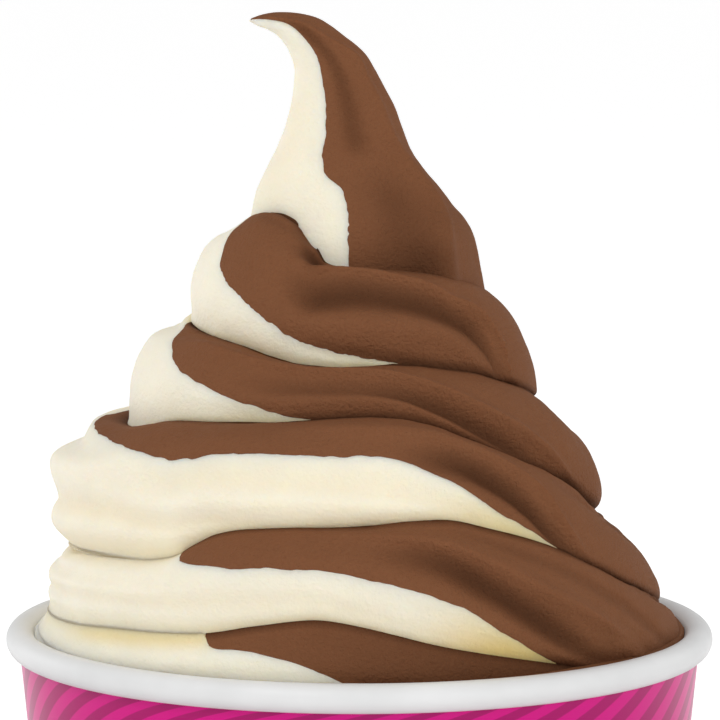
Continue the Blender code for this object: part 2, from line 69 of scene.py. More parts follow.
BULGE = [
    (-.2, 2.5, 0), (0, 3.6, .2), (.12, 3.5, .1), (.25, 3.8, .1), (.4, 2.8, 0), (.5, 2.0, -.1),
    (.75, 2.8, 0), (.9, 3.3, .2), (1, 3.9, .25), (1.12, 3.4, .1), (1.25, 2.6, 0), (1.4, 2.9, -.1),
    (1.5, 3.2, -.25), (1.75, 3.8, 0), (1.9, 5.4, .2), (2, 6.5, .25), (2.1, 5.8, .2), (2.25, 4.6, .1),
    (2.4, 2.4, 0), (2.5, 1.9, -.1), (2.75, 2.6, 0), (3, 1.8, -.15), (3.12, 2.3, 0), (3.25, 3.4, .05),
    (3.4, 2.9, 0), (3.5, 2.6, -.2), (3.75, 2.2, 0), (4, 2.7, .3), (4.1, 1.7, .2), (4.25, 1.6, 0), (4.5, 2.2, 0),
    (5.2, 2, 0)]
# lobes left by the nozzle: height (negative is a groove), width in v, fade in s, line (s, v)
LOBES = [
    # first turn: shelf edge, groove under it, lower lobe, undercut
    (1.3, .052, .03, [(.17, .32), (.231, .215), (.305, .30), (.335, .35), (.356, .42), (.385, .49), (.396, .58), (.407, .71), (.411, .94)]),
    (-1.6, .12, .025, [(.185, .48), (.24, .41), (.293, .44), (.335, .49), (.367, .57), (.385, .71), (.392, .88)]),
    (.75, .10, .03, [(.168, .66), (.233, .66), (.288, .68), (.328, .71), (.352, .79), (.369, .93)]),
    (-.9, .07, .03, [(.195, .8), (.248, .85), (.282, .93), (.326, .97)]),
    (-.35, .05, .02, [(.06, .12), (.11, .17), (.15, .17)]),
    # second turn
    (1.2, .07, .03, [(1.1, .26), (1.168, .33), (1.227, .42), (1.255, .45), (1.286, .51), (1.322, .59), (1.358, .67), (1.39, .78), (1.419, .95)]),
    (-.7, .10, .03, [(1.18, .58), (1.244, .61), (1.278, .66), (1.312, .73), (1.348, .83), (1.384, .98)]),
    (-1.0, .10, .04, [(1.278, .66), (1.312, .73), (1.348, .83), (1.384, .98)]),
    (.6, .09, .03, [(1.15, .74), (1.21, .80), (1.236, .8), (1.278, .82), (1.305, .88)]),
    # third turn: brown ridge and groove, then the cream lobes to the left
    (1.2, .08, .03, [(2.22, .25), (2.274, .31), (2.31, .35), (2.331, .37), (2.341, .43), (2.356, .54), (2.367, .74), (2.384, .97)]),
    (-1.8, .11, .03, [(2.29, .5), (2.312, .51), (2.329, .57), (2.344, .68), (2.358, .84), (2.375, .99)]),
    (-1.2, .065, .06, [(1.93, .64), (2.0, .64), (2.06, .65), (2.105, .68), (2.144, .74), (2.18, .88)]),
    (-.75, .10, .04, [(2.09, .50), (2.152, .53), (2.19, .62), (2.24, .66), (2.275, .72), (2.31, .92)]),
    (.55, .09, .04, [(2.12, .62), (2.19, .80), (2.24, .82), (2.28, .9)]),
    (1.0, .09, .05, [(1.95, .50), (2.0, .49), (2.08, .47), (2.13, .44)]),
    (-.7, .07, .05, [(1.93, .29), (2.0, .29), (2.07, .28)]),
    (.35, .06, .06, [(1.93, .82), (2.0, .82), (2.1, .82)]),
    # fourth turn
    (1.3, .065, .03, [(3.24, .13), (3.287, .24), (3.317, .35), (3.344, .46), (3.374, .55), (3.405, .73), (3.43, .95)]),
    (-1.8, .10, .035, [(3.275, .36), (3.289, .40), (3.317, .52), (3.344, .66), (3.376, .84)]),
    (.6, .10, .04, [(3.18, .38), (3.245, .46), (3.293, .61), (3.316, .71), (3.338, .85)]),
    (-.5, .06, .03, [(3.30, .17), (3.35, .26), (3.40, .4), (3.44, .62)]),
    (-.45, .10, .06, [(3.02, .56), (3.1, .6), (3.2, .72), (3.28, .84)]),
    (.4, .10, .06, [(2.9, .74), (3.05, .78), (3.17, .86)]),
    # last turn, against the rim
    (.6, .12, .05, [(4.05, .34), (4.116, .34), (4.171, .3), (4.24, .42)]),
    (-.5, .10, .04, [(4.22, .5), (4.3, .6), (4.4, .8)])]
# flatter tops and narrower feet of the turns where they show in outline
OUTLINE = [
    (-1.5, .12, .08, [(-.14, .12), (0, .12), (.06, .12)]),
    (-1.2, .14, .10, [(-.14, .84), (0, .84), (.1, .86)]),
    (-1.1, .11, .10, [(.84, .12), (1, .12), (1.08, .12)]),
    (-1.4, .13, .10, [(.84, .88), (1, .87), (1.1, .87)]),
    (-1.1, .08, .10, [(1.84, .08), (2, .08), (2.06, .08)]),
    (-1.0, .16, .12, [(2.84, .85), (3, .82), (3.1, .82)]),
    (-1.4, .10, .10, [(2.84, .04), (3, .06), (3.1, .05)]),
    (-1.8, .11, .10, [(.40, .08), (.5, .1), (.62, .12)]),
    (-2.2, .11, .10, [(1.42, .1), (1.5, .12), (1.62, .12)]),
    (-3.0, .085, .08, [(2.42, .06), (2.5, .1), (2.62, .1)]),
    (-1.2, .10, .05, [(-.06, .24), (.01, .26), (.06, .25)]),
    (-2.2, .08, .05, [(.92, .24), (.98, .24), (1.03, .22)]),
    (-.6, .14, .08, [(.92, .72), (1, .7), (1.08, .74)]),
    (-1.3, .06, .05, [(1.89, .24), (1.95, .25), (2.0, .25)]),
    (-1.6, .075, .06, [(1.9, .36), (2, .36), (2.06, .37)]),
    (-3.0, .065, .08, [(1.92, .94), (2, .93), (2.1, .93)]),
    (-1.3, .10, .08, [(2.9, .2), (3, .22), (3.08, .2)]),
    (-1.6, .08, .08, [(2.9, .12), (3, .11), (3.08, .1)]),
    (-.9, .08, .08, [(2.9, .36), (3, .37), (3.08, .38)]),
    (-.9, .11, .08, [(2.9, .62), (3, .62), (3.08, .64)]),
    (-.7, .12, .08, [(.45, .24), (.51, .24), (.6, .24)]),
    (-.6, .14, .08, [(.46, .84), (.5, .84), (.6, .84)]),
    (-1.2, .13, .07, [(1.44, .28), (1.5, .32), (1.6, .32)]),
    (-2.2, .095, .035, [(2.40, .30), (2.43, .35), (2.455, .37), (2.48, .36), (2.505, .35)]),
    (-1.3, .06, .045, [(2.43, .20), (2.46, .24), (2.50, .28), (2.54, .30)]),
    (-1.6, .08, .05, [(3.43, .12), (3.47, .14), (3.52, .14)])]
# how open the fold above a turn is: 0 a closed crevice, 1 a soft hollow: (s, amount)
SOFT = [(-.2, 0), (1.04, 0), (1.1, .3), (1.24, .4), (1.36, .4), (1.42, 0), (2.05, 0), (2.12, .3), (2.2, .4),
        (2.35, .3), (2.41, 0), (3.05, 0), (3.1, .35), (3.2, .3), (3.36, .3), (3.42, 0),
        (3.6, .2), (3.8, 1), (4.13, 1), (4.2, .4), (4.5, .3), (5.8, .3)]
# hollows: where (s, v), radius and depth
DENTS = [(.187, .20, 1.7, 1.7), (.162, .03, 2.0, 2.0)]
# painted shade in corners and hollows of the brown: amount, reach in s and in v, where (s, v)
PAINTED_SHADE_SPOTS = [(.95, .014, .075, .188, .20), (.75, .05, .11, .325, .08), (.95, .04, .10, 1.30, .04), (.5, .04, .05, .30, .98)]
# where brown gives way to cream below it on the shown side, turn by turn: (s, v)
FRONT_EDGE = [
    [(.03, 0), (.055, .25), (.08, .49), (.107, .6), (.142, .68), (.186, .77), (.224, .82), (.272, .92), (.298, 1)],
    [(1.012, 0), (1.028, .07), (1.055, .2), (1.075, .33), (1.1, .5), (1.131, .63), (1.159, .75), (1.183, .84), (1.218, 1)],
    [(1.90, 0), (1.95, .06), (1.985, .12), (2.03, .2), (2.074, .28), (2.108, .36), (2.161, .44), (2.218, .49), (2.267, .52), (2.297, .65), (2.324, .8), (2.365, 1)],
    [(3.150, 0), (3.156, .26), (3.18, .41), (3.209, .47), (3.252, .53), (3.292, .62), (3.317, .74), (3.354, 1)],
    [(4.172, 0), (4.176, .16), (4.19, .23), (4.207, .31), (4.231, .43), (4.26, .6), (4.31, 1)]]
# where cream gives way to brown below it on the far side, added to the turn number
BACK_EDGE = [(.52, 0), (.57, .25), (.62, .45), (.69, .65), (.76, .82), (.83, 1)]
# spire, as the left and right ends of each section across the shown view: x, z, x, z
SPIRE = [
    (-15.5, 110, 17.6, 110), (-15.6, 115, 17.5, 115), (-15.6, 119, 16.8, 119),
    (-15.4, 123.1, 15.9, 123.1), (-15.1, 125.6, 14.6, 125.6), (-14.7, 127.6, 12.9, 127.6),
    (-14.1, 130, 11.1, 130), (-12.8, 132.7, 8.9, 132.7), (-11.4, 135.5, 7.1, 135.5),
    (-10.3, 138.2, 6, 138.2), (-9.5, 141, 4.9, 141), (-9, 143.7, 3.5, 143.8),
    (-8.9, 146.4, 2.1, 146.5), (-9.4, 148.4, .5, 149), (-10.3, 150.1, -2, 151.1),
    (-11.5, 151.4, -5.1, 153.3), (-12.7, 152.1, -8.1, 154.2), (-13.8, 152.5, -11.1, 154.4),
    (-14.6, 152.9, -13.2, 154.1), (-15.1, 153.2, -14.7, 153.6)]
SPIRE_DEPTH = [(0, .9), (6, .88), (12, .95), (19, 1)]
# edge of the brown half round the spire, degrees from -Y towards +X, on the shown and far sides
SPIRE_EDGE = [(0, -7, -4), (2.3, -7, 0), (3, -6.5, 0), (4, -5, 2), (4.7, -2.5, 3), (5.5, -1.5, 4), (6.1, -2.5, 4),
              (6.55, -6, 4), (7, -14, 4), (7.6, -17, 4), (8.5, -17.5, 4), (10.2, -18, 3), (12.2, -19.5, 1),
              (13.2, -16, 0), (14, -12, 0), (15, -7, 0), (16, 0, 0), (19, 0, 0)]
# ridges and grooves along the spire: height as a share of the radius, width in degrees,
# from station to station, line (station, degrees from -Y towards +X)
SPIRE_LOBES = [
    (.14, 9.5, -1, 20, [(0, 41), (3, 43), (5, 56), (7, 62), (9, 47), (11, 44), (12, 42), (13, 46), (14.5, 26), (19, 15)]),
    (-.12, 20, -1, 8, [(0, 18), (3, 22), (5, 32), (8, 28)]),
    (-.13, 12, 7.6, 17, [(7, 14), (8.5, 12), (10, 9), (11.8, 6), (13, 4), (19, 3)]),
    (-.03, 22, -1, 9, [(0, 72), (9, 78)]),
    (.05, 22, -1, 15, [(0, 112), (8, 118), (15, 110)]),
    (-.06, 20, -1, 15, [(0, 150), (8, 152), (15, 148)]),
    (.05, 22, -1, 15, [(0, 188), (8, 184), (15, 180)]),
    (-.06, 20, -1, 15, [(0, 225), (8, 222), (15, 215)]),
    (.045, 22, -1, 15, [(0, 262), (8, 258), (15, 255)]),
    (-.03, 20, -1, 12, [(0, 300), (12, 300)])]

CUP_H, RIM_R, ROLL_R, WALL = 70.0, 49.0, 2.0, 0.6
WALL_R_TOP, WALL_R_FOOT, BASE_Z = 47.0, 40.4, 5.0
CORE_R = 4.0
BAND_AT = .074


# ---------------------------------------------------------------- curves and noise
def curve(table):
    t = np.array(table, float)
    x, y = t[:, 0], t[:, 1:]
    m = np.zeros_like(y)
    m[1:-1] = (y[2:] - y[:-2]) / (x[2:] - x[:-2])[:, None]
    m[0] = (y[1] - y[0]) / (x[1] - x[0])
    m[-1] = (y[-1] - y[-2]) / (x[-1] - x[-2])

    def at(q):
        q = np.clip(np.asarray(q, float), x[0], x[-1])
        i = np.clip(np.searchsorted(x, q) - 1, 0, len(x) - 2)
        h = x[i + 1] - x[i]
        u = ((q - x[i]) / h)[..., None]
        h = h[..., None]
        return ((1 + 2 * u) * (1 - u) ** 2 * y[i] + u * (1 - u) ** 2 * h * m[i]
                + u * u * (3 - 2 * u) * y[i + 1] + u * u * (u - 1) * h * m[i + 1])
    return at


def ramp(x, a, b):
    u = np.clip((np.asarray(x, float) - a) / (b - a), 0, 1)
    return u * u * (3 - 2 * u)


LATTICE = np.random.default_rng(7).random((32, 32, 32)) * 2 - 1


def noise(p, size):
    """Smooth value noise of points p (..., 3) in mm with the given cell size."""
    q = np.asarray(p) / size
    i = np.floor(q).astype(int)
    f = q - i
    f = f * f * (3 - 2 * f)
    out = 0
    for dx in (0, 1):
        for dy in (0, 1):
            for dz in (0, 1):
                w = (np.where(dx, f[..., 0], 1 - f[..., 0]) * np.where(dy, f[..., 1], 1 - f[..., 1])
                     * np.where(dz, f[..., 2], 1 - f[..., 2]))
                out = out + w * LATTICE[(i[..., 0] + dx) % 32, (i[..., 1] + dy) % 32, (i[..., 2] + dz) % 32]
    return out


crease_at = curve(CREASE)
bulge_at = curve(BULGE)


def bumps(rows, s, v):
    out = np.zeros(np.broadcast(s, v).shape)
    for depth, width, fade, line_ in rows:
        x = np.array([p[0] for p in line_])
        vg = curve(line_)(s)[..., 0]
        on = ramp(s, x[0] - fade, x[0] + fade) * (1 - ramp(s, x[-1] - fade, x[-1] + fade))
        out += depth * on * np.exp(-((v - vg) / width) ** 2)
    return out


def lobes(s, v):
    out = bumps(LOBES, s, v) + bumps(OUTLINE, s, v)
    f = (s - .25) % 1.0
    back = ramp(f, .26, .38) * (1 - ramp(f, .60, .74))
    w = np.cos(2 * pi * 6 * (s + .25 - .5 * v) + .8 * np.sin(2 * pi * 1.3 * s))
    out += .75 * back * (w + .35 * w * w * np.sign(w)) * np.sin(pi * v)
    return out


def rope(s, v):
    """Surface point of the rope at (s, v) as x, y, z in mm."""
    s, v = np.broadcast_arrays(np.asarray(s, float), np.asarray(v, float))
    a, c = crease_at(s), crease_at(s + 1)
    d = c - a
    length = np.linalg.norm(d, axis=-1, keepdims=True)
    t = d / np.maximum(length, 1e-6)
    n = np.stack([-t[..., 1], t[..., 0]], -1)
    b = bulge_at(s)
    fit = np.minimum(1, length[..., 0] / 9)
    sv = np.sin(pi * np.clip(v, 0, 1))
    w = ramp(v, .3, .7)
    so = np.interp(s, *np.array(SOFT).T) * (1 - w) + np.interp(s + 1, *np.array(SOFT).T) * w
    out = (b[..., 0] * sv ** (.9 + .7 * so) * (1 + b[..., 1] * np.cos(pi * v)) + lobes(s, v) * sv ** .5) * fit
    q = a + d * ((1 - so) * (1 - np.cos(pi * v)) / 2 + so * v)[..., None] + n * out[..., None]
    r, z = q[..., 0], q[..., 1]
    lim = 44.95 + .35 * ramp(z, 69.5, 74)
    r = np.where(z < 76, r + (.5 * (lim - r - np.hypot(r - lim, .5))) * (1 - ramp(z, 72, 76)), r)
    th = pi + 2 * pi * s
    return np.stack([r * np.cos(th), r * np.sin(th), z], -1)


def dent(p):
    """Pushes points in towards the axis where there is a hollow; also gives how far."""
    far = 0
    for (s, v, radius, depth), c in zip(DENTS, DENT_AT):
        g = depth * np.exp(-(np.sum((p - c) ** 2, -1) / radius ** 2) ** 1.6)
        far = far + g
        r = np.hypot(p[..., 0], p[..., 1])
        p = p - g[..., None] * np.stack([.75 * p[..., 0] / r, .75 * p[..., 1] / r, .66 + 0 * r], -1)
    return p, far


DENT_AT = [rope(s, v) for s, v, _, _ in DENTS]


# ---------------------------------------------------------------- meshes
def mesh_from(name, blocks):
    """blocks: list of (verts (n, 3) in mm, quads (m, 4), tris (k, 3), attribute (n,))."""
    vs, qs, ts, at, base = [], [], [], [], 0
    for v, q, t, a in blocks:
        vs.append(v)
        at.append(a)
        if len(q):
            qs.append(q + base)
        if len(t):
            ts.append(t + base)
        base += len(v)
    v = np.concatenate(vs) * MM
    q = np.concatenate(qs) if qs else np.zeros((0, 4), int)
    t = np.concatenate(ts) if ts else np.zeros((0, 3), int)
    me = bpy.data.meshes.new(name)
    me.vertices.add(len(v))
    me.vertices.foreach_set('co', v.astype(np.float32).ravel())
    loops = np.concatenate([q.ravel(), t.ravel()]).astype(np.int32)
    me.loops.add(len(loops))
    me.loops.foreach_set('vertex_index', loops)
    me.polygons.add(len(q) + len(t))
    starts = np.concatenate([np.arange(len(q)) * 4, len(q) * 4 + np.arange(len(t)) * 3]).astype(np.int32)
    me.polygons.foreach_set('loop_start', starts)
    me.update(calc_edges=True)
    # the 'depth' attribute carries painted shade: 1 unshaded, 0 the full shade colour
    layer = me.attributes.new('depth', 'FLOAT', 'POINT')
    layer.data.foreach_set('value', np.concatenate(at).astype(np.float32))
    me.polygons.foreach_set('use_smooth', np.ones(len(me.polygons), bool))
    me.validate()
    ob = bpy.data.objects.new(name, me)
    bpy.context.scene.collection.objects.link(ob)
    return ob


def closed_loft(rings, attr):
    """Quads through rings (m, n, 3), closed round and capped with fans."""
    m, n = rings.shape[:2]
    v = rings.reshape(-1, 3)
    i, j = np.meshgrid(np.arange(m - 1), np.arange(n), indexing='ij')
    k = (j + 1) % n
    q = np.stack([i * n + j, (i + 1) * n + j, (i + 1) * n + k, i * n + k], -1).reshape(-1, 4)
    c0, c1 = rings[0].mean(0), rings[-1].mean(0)
    v = np.concatenate([v, [c0, c1]])
    jj = np.arange(n)
    t0 = np.stack([jj, (jj + 1) % n, np.full(n, m * n)], -1)
    b = (m - 1) * n
    t1 = np.stack([b + (jj + 1) % n, b + jj, np.full(n, m * n + 1)], -1)
    a = np.concatenate([attr.ravel(), [1, 1]])
    return v, q, np.concatenate([t0, t1]), a


def inner_r(s):
    return CORE_R - .8 + 4.5 * (1 - ramp(s, .2, .5))


def grain(p, normal):
    """Small unevenness of the frozen surface, mm along the normal."""
    h = .16 * noise(p + 40, 6.5) + .07 * noise(p + 11, 2.4) + .03 * noise(p, 1.1)
    return p + normal * h[..., None]


def piece_block(ss, top, bottom, nw, lap=.25, shade_paint=None):
    vt = np.array([top(s) for s in ss])
    vb = np.maximum(np.array([bottom(s) for s in ss]), vt + .003)
    w = np.linspace(0, 1, nw + 1)
    S = np.repeat(ss[:, None], nw + 1, 1)
    V = vt[:, None] + (vb - vt)[:, None] * w[None]
    P = rope(S, V)
    e = 1e-3
    Vc = np.clip(V, .02, .98)
    ds = rope(S + e, Vc) - rope(S - e, Vc)
    dv = rope(S, Vc + e) - rope(S, Vc - e)
    nrm = np.cross(dv, ds)
    nrm /= np.maximum(np.linalg.norm(nrm, axis=-1, keepdims=True), 1e-9)
    P, hollow = dent(grain(P, nrm))
    th = pi + 2 * pi * ss
    er = np.stack([np.cos(th), np.sin(th), 0 * th], -1)
    a, c = crease_at(ss), crease_at(ss + 1)
    ri = inner_r(ss)
    up = np.where(vt <= .001, lap, 0)
    dn = np.where(vb >= .999, lap, 0)
    zt = a[:, 1] + (c[:, 1] - a[:, 1]) * vt + up
    zb = a[:, 1] + (c[:, 1] - a[:, 1]) * vb - dn
    it = er * ri[:, None]
    it[:, 2] = zt
    ib = er * ri[:, None]
    ib[:, 2] = zb
    # at a crease the cut faces go straight in; at a colour line they first dip under the surface
    lt = P[:, 0] - np.where((up > 0)[:, None], er * .2, nrm[:, 0] * .9)
    lb = P[:, -1] - np.where((dn > 0)[:, None], er * .2, nrm[:, -1] * .9)
    lt[:, 2] += np.where(up > 0, up, 0)
    lb[:, 2] -= np.where(dn > 0, dn, 0)
    rings = np.concatenate([it[:, None], lt[:, None], P, lb[:, None], ib[:, None]], 1)
    # painted shade: the 'depth' attribute is made darker towards the creases, in the grooves and in the hollows; the
    # brown or cream painted shade below is applied on top
    near = np.minimum(V, 1 - V)
    att = np.clip(near / .12, 0, 1) * np.clip(1 + .5 * np.minimum(bumps(LOBES, S, V), 0), 0, 1)
    att = att * (1 - .8 * np.clip(hollow / 3.5, 0, 1))
    if shade_paint is not None:
        att = shade_paint(S, V, vb - vt, att)
    att = np.concatenate([att[:, :1], att[:, :1], att, att[:, -1:], att[:, -1:]], 1)
    return closed_loft(rings, att)


def brown_painted_shade(S, V, wide, att):
    # painted shade: the foot of the last turns is painted darker, standing in for the shade of the turn above; the
    # listed spots are painted darker too
    shade = ramp(S, 4.14, 4.36) * (1 - ramp(S, 4.5, 4.7)) * .75
    for amount, ls, lv, s, v in PAINTED_SHADE_SPOTS:
        att = att * (1 - amount * np.exp(-((S - s) / ls) ** 2 - ((V - v) / lv) ** 2))
    return att * (1 - shade)


def cream_painted_shade(k):
    # painted shade in warm yellow: thin ends of the cream are painted yellower, creases only a little; the fold above
    # the last turn is painted yellow too
    end, much = FRONT_EDGE[k][-1][0], (.2, .2, .6, 1, 0)[k]

    def shade_paint(S, V, wide, att):
        tip = ramp(S, end - .085, end - .03) * (.45 + .55 * ramp(V, .6, .95)) * much
        fold = ramp(S, 4.06, 4.11) * (1 - ramp(S, 4.17, 4.21)) * (1 - ramp(V, .08, .22)) * .5
        crease_shade = (1 - ramp(np.minimum(V, 1 - V), 0, .3)) * .22 + (1 - att) * .3
        return (1 - crease_shade) * (1 - tip) * (1 - fold)
    return shade_paint


def edge_line(points, seed):
    c = curve(points)
    x0, x1 = points[0][0], points[-1][0]

    def at(s):
        if s <= x0:
            return 0.0
        if s >= x1:
            return 1.0
        v = float(c(s)[0])
        w = noise(np.array([s * 260.0, seed * 13.7, 3.1]), 2.2) * .012 + noise(np.array([s * 260.0, seed * 5.1, 9.0]), .8) * .006
        return min(max(v + w * min(1, (s - x0) * 22, (x1 - s) * 60), 0.0), 1.0)
    return at


def spire_block(side, n_arc, n_len):
    st = curve([(i,) + row for i, row in enumerate(SPIRE)])
    dp = curve(SPIRE_DEPTH)
    ed = curve(SPIRE_EDGE)
    k = np.linspace(0, 19, n_len + 1)
    T, d, E = st(k), dp(k)[:, 0], np.radians(ed(k))
    jag = (np.array([noise(np.array([q * 2.1, 2.0, 5.0]), 1.7) for q in k]) * .02
           + np.array([noise(np.array([q * 9.0, 2.0, 5.0]), 1.7) for q in k]) * .012)
    jag *= ramp(k, 2, 4) * (1 - ramp(k, 13, 16))
    ridges = [(h, w, ramp(k, a, a + 1.2) * (1 - ramp(k, b - 2.5, b)), curve(line_)(k)[:, 0])
              for h, w, a, b, line_ in SPIRE_LOBES]
    rings, att = [], []
    for i in range(len(k)):
        xl, zl, xr, zr = T[i]
        f, b = E[i]
        f = f + jag[i]
        c = np.array([(xl + xr) / 2, 1.2 - 1.8 * k[i] / 19, (zl + zr) / 2])
        e = np.array([(xr - xl) / 2, 0, (zr - zl) / 2])
        a = np.linalg.norm(e)
        a0, a1 = (-pi / 2 + f, pi / 2 - b) if side > 0 else (pi / 2 - b, 3 * pi / 2 + f)
        psi = np.linspace(a0, a1, n_arc + 1)
        az = np.degrees(psi) + 90
        lob, deep = 1, 0
        for h, w, on, at in ridges:
            g = h * on[i] * np.exp(-(((az - at[i] + 180) % 360 - 180) / w) ** 2)
            lob = lob + g
            deep = deep + np.minimum(g, 0)
        p = c + np.outer(np.cos(psi) * lob, e) + np.outer(np.sin(psi) * a * d[i] * lob, [0, 1, 0])
        # the outline itself stays where the stations put it
        over = np.abs(np.cos(psi) * lob) > 1
        p = np.where(over[:, None], c + np.outer(np.sign(np.cos(psi)), e) + np.outer(np.sin(psi) * a * d[i] * lob, [0, 1, 0]), p)
        n = p - c
        n /= np.maximum(np.linalg.norm(n, axis=-1, keepdims=True), 1e-9)
        p = p + n * ((.12 * noise(p + 40, 6.5) + .06 * noise(p + 11, 2.4) + .03 * noise(p, 1.1)) * min(1, a / 4))[:, None]
        rings.append(np.concatenate([p, [c]]))
        # painted shade: darker in the spire's grooves and at a spot near its base
        att.append(np.concatenate([np.clip(1 + deep * 3.5, 0, 1) * (1 - .65 * np.exp(-((k[i] - 2.3) / 1.2) ** 2 - ((az - 34) / 12) ** 2)), [0]]))
    return closed_loft(np.array(rings), np.array(att))


def fill_block(side, n):
    z0 = BASE_Z + WALL + .3
    inner = lambda z: wall_r(z) - 2 * WALL - .3 + .25 * float(ramp(z, 8, 30))
    prof = [(0.05, z0), (inner(z0), z0), (inner(20), 20), (inner(42), 42), (min(inner(57), 44.9), 57), (45.1, 69.0), (44.7, 69.5),
            (CORE_R + 1.5, 69.6), (CORE_R + 1.5, 112), (CORE_R + .5, 116), (0.05, 116.2)]
    a = np.linspace(-pi / 2, pi / 2, n + 1)
    rings = np.array([np.stack([np.maximum(r * np.cos(a), 0) * side, r * np.sin(a), 0 * a + z], -1) for r, z in prof])
    return closed_loft(rings, np.ones(rings.shape[:2]))


def wall_r(z):
    return WALL_R_FOOT + (WALL_R_TOP - WALL_R_FOOT) * z / (CUP_H - 2 * ROLL_R)


NS, NW = 400, 76


def steps(s0, s1):
    return np.linspace(s0, s1, max(8, int((s1 - s0) * NS)) + 1)


back = [edge_line([(k + a, b) for a, b in BACK_EDGE], 50 + k) for k in range(-1, 5)]
front = [edge_line(e, k) for k, e in enumerate(FRONT_EDGE)]

blocks = []
for k, e in enumerate(FRONT_EDGE):
    s1 = k + BACK_EDGE[-1][0] - .002 if k < 4 else 4.62
    top = back[k + 1] if k < 4 else (lambda s: 0.0)
    blocks.append(piece_block(steps(e[0][0] + .001, s1), top, front[k], NW, shade_paint=brown_painted_shade))
choc = mesh_from('swirl_brown_lower', blocks[2:] + [fill_block(1, 24)])
choc_up = mesh_from('swirl_brown_upper', blocks[:2] + [spire_block(1, 110, 220)])

blocks = []
for k, e in enumerate(FRONT_EDGE):
    s0 = -.138 if k == 0 else k - 1 + BACK_EDGE[0][0] + .002
    bottom = (lambda s: 1.0) if k == 0 else back[k]
    blocks.append(piece_block(steps(s0, e[-1][0] - .001), front[k], bottom, NW, shade_paint=cream_painted_shade(k)))
blocks.append(piece_block(steps(4.5, 4.78), lambda s: 0.0, lambda s: 1.0, 20))
cream = mesh_from('swirl_cream_lower', blocks[2:] + [fill_block(-1, 24)])
cream_up = mesh_from('swirl_cream_upper', blocks[:2] + [spire_block(-1, 110, 220)])
for ob in (choc, choc_up, cream, cream_up):
    ob.data.set_sharp_from_angle(angle=1.0)


# ---------------------------------------------------------------- the cup
def turned(name, prof, n=192):
    m = len(prof)
    a = np.linspace(0, 2 * pi, n, endpoint=False)
    prof = np.array(prof)
    v = np.stack([prof[:, None, 0] * np.cos(a), prof[:, None, 0] * np.sin(a),
                  np.repeat(prof[:, None, 1], n, 1)], -1)
    i, j = np.meshgrid(np.arange(m - 1), np.arange(n), indexing='ij')
    k = (j + 1) % n
    q = np.stack([i * n + j, i * n + k, (i + 1) * n + k, (i + 1) * n + j], -1).reshape(-1, 4)
    return mesh_from(name, [(v.reshape(-1, 3), q, np.zeros((0, 3), int), np.ones(m * n))])


def arc(cx, cz, r, a0, a1, n):
    return [(cx + r * cos(a), cz + r * sin(a)) for a in np.linspace(a0, a1, n)]


roll_c, roll_z = RIM_R - .06 - ROLL_R, CUP_H - ROLL_R
wall_prof = [(wall_r(z), z) for z in np.linspace(0.4, CUP_H - 2 * ROLL_R + .5, 24)]
wall = turned('cup_wall', wall_prof)
paper_prof = ([(roll_c + .05, CUP_H - 2 * ROLL_R + .35)] + arc(roll_c, roll_z, ROLL_R, -pi / 2 + .35, pi, 22)
              + [(roll_c - ROLL_R + .05, roll_z - .8), (wall_r(CUP_H - 8) - WALL, CUP_H - 8),
                 (wall_r(BASE_Z + WALL) - 2 * WALL, BASE_Z + WALL), (.05, BASE_Z + WALL)])
rim = turned('cup_rim_and_inside', paper_prof)
foot_prof = [(wall_r(.4), .4), (wall_r(0) - .1, .05), (wall_r(0) - .5, 0), (wall_r(0) - 1.1, .05),
             (wall_r(BASE_Z) - 2 * WALL, BASE_Z), (.05, BASE_Z)]
foot = turned('cup_foot', foot_prof)


# ---------------------------------------------------------------- materials
def srgb(r, g, b):
    f = lambda c: c / 255 / 12.92 if c / 255 <= .04045 else ((c / 255 + .055) / 1.055) ** 2.4
    return (f(r), f(g), f(b), 1)


def new_mat(name):
    m = bpy.data.materials.new(name)
    m.use_nodes = True
    return m, m.node_tree.nodes, m.node_tree.links, m.node_tree.nodes['Principled BSDF']


def yogurt_mat(name, base, deep, rough, spec, sss, radius, reach, grain, grain_h):
    m, N, L, B = new_mat(name)
    tc = N.new('ShaderNodeTexCoord')
    n1 = N.new('ShaderNodeTexNoise')
    n1.inputs['Scale'].default_value = 170
    n1.inputs['Detail'].default_value = 4
    L.new(tc.outputs['Object'], n1.inputs['Vector'])
    mix = N.new('ShaderNodeMix')
    mix.data_type = 'RGBA'
    mix.inputs[6].default_value = tuple(min(1, c * 1.03) for c in base[:3]) + (1,)
    mix.inputs[7].default_value = tuple(c * .94 for c in base[:3]) + (1,)
    L.new(n1.outputs['Fac'], mix.inputs[0])
    # painted shade: the second colour is mixed in where the 'depth' attribute falls below 1
    at = N.new('ShaderNodeAttribute')
    at.attribute_name = 'depth'
    mix2 = N.new('ShaderNodeMix')
    mix2.data_type = 'RGBA'
    mix2.inputs[6].default_value = deep
    L.new(at.outputs['Fac'], mix2.inputs[0])
    L.new(mix.outputs[2], mix2.inputs[7])
    L.new(mix2.outputs[2], B.inputs['Base Color'])
    B.inputs['Roughness'].default_value = rough
    B.inputs['Specular IOR Level'].default_value = spec
    B.inputs['Subsurface Weight'].default_value = sss
    B.inputs['Subsurface Radius'].default_value = radius
    B.inputs['Subsurface Scale'].default_value = reach
    n2 = N.new('ShaderNodeTexNoise')
    n2.inputs['Scale'].default_value = grain
    n2.inputs['Detail'].default_value = 3
    n2.inputs['Roughness'].default_value = .6
    L.new(tc.outputs['Object'], n2.inputs['Vector'])
    bump = N.new('ShaderNodeBump')
    bump.inputs['Strength'].default_value = 1.0
    bump.inputs['Distance'].default_value = grain_h
    L.new(n2.outputs['Fac'], bump.inputs['Height'])
    L.new(bump.outputs['Normal'], B.inputs['Normal'])
    return m


